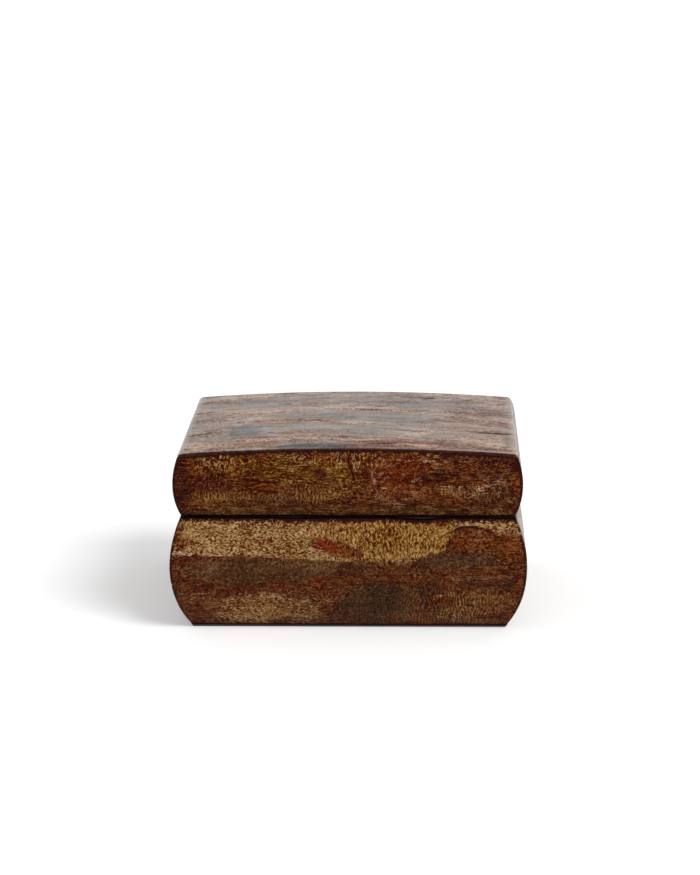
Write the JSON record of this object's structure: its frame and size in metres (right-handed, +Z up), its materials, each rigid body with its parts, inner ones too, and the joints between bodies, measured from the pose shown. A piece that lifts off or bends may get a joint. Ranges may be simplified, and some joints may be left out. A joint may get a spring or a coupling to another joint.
{
  "type": "lidded box",
  "caption": "Small rectangular box with bellied sides and a lift-off arched lid over an inner lip, covered in polished bark on a wooden core.",
  "frame": {"origin": "the middle of the underside, on the surface that the box stands on", "axes": "+X to the right along the width, +Y from the front to the back, +Z up, the way the lid lifts"},
  "size_m": [0.105, 0.08, 0.0555],
  "materials": {
    "side_bark": "polished bark, finely cracked, satin to gloss",
    "top_bark": "polished bark, grey-brown with long pores, gloss",
    "lining_bark": "smooth red-brown bark, gloss",
    "dark_core": "dark stained wood, satin",
    "lip_wood": "dark stained cherry, satin"
  },
  "bodies": {
    "base": {"base_front_wall": "dark_core", "base_right_wall": "dark_core", "base_back_wall": "dark_core", "base_left_wall": "dark_core", "base_front_bark": "side_bark", "base_right_bark": "side_bark", "base_back_bark": "side_bark", "base_left_bark": "side_bark", "front_lip_liner": "lip_wood", "right_lip_liner": "lip_wood", "back_lip_liner": "lip_wood", "left_lip_liner": "lip_wood", "base_floor_board": "dark_core", "base_floor_lining": "lining_bark", "base_underside_bark": "lining_bark"},
    "lid": {"lid_front_wall": "dark_core", "lid_right_wall": "dark_core", "lid_back_wall": "dark_core", "lid_left_wall": "dark_core", "lid_front_bark": "side_bark", "lid_right_bark": "side_bark", "lid_back_bark": "side_bark", "lid_left_bark": "side_bark", "lid_top_board": "dark_core", "lid_ceiling_lining": "lining_bark", "lid_top_bark": "top_bark"}
  },
  "joints": [
    {"name": "lid_lift", "type": "slide", "parent": "base", "child": "lid", "axis": [0, 0, 1], "range_m": [0, 0.06]}
  ]
}
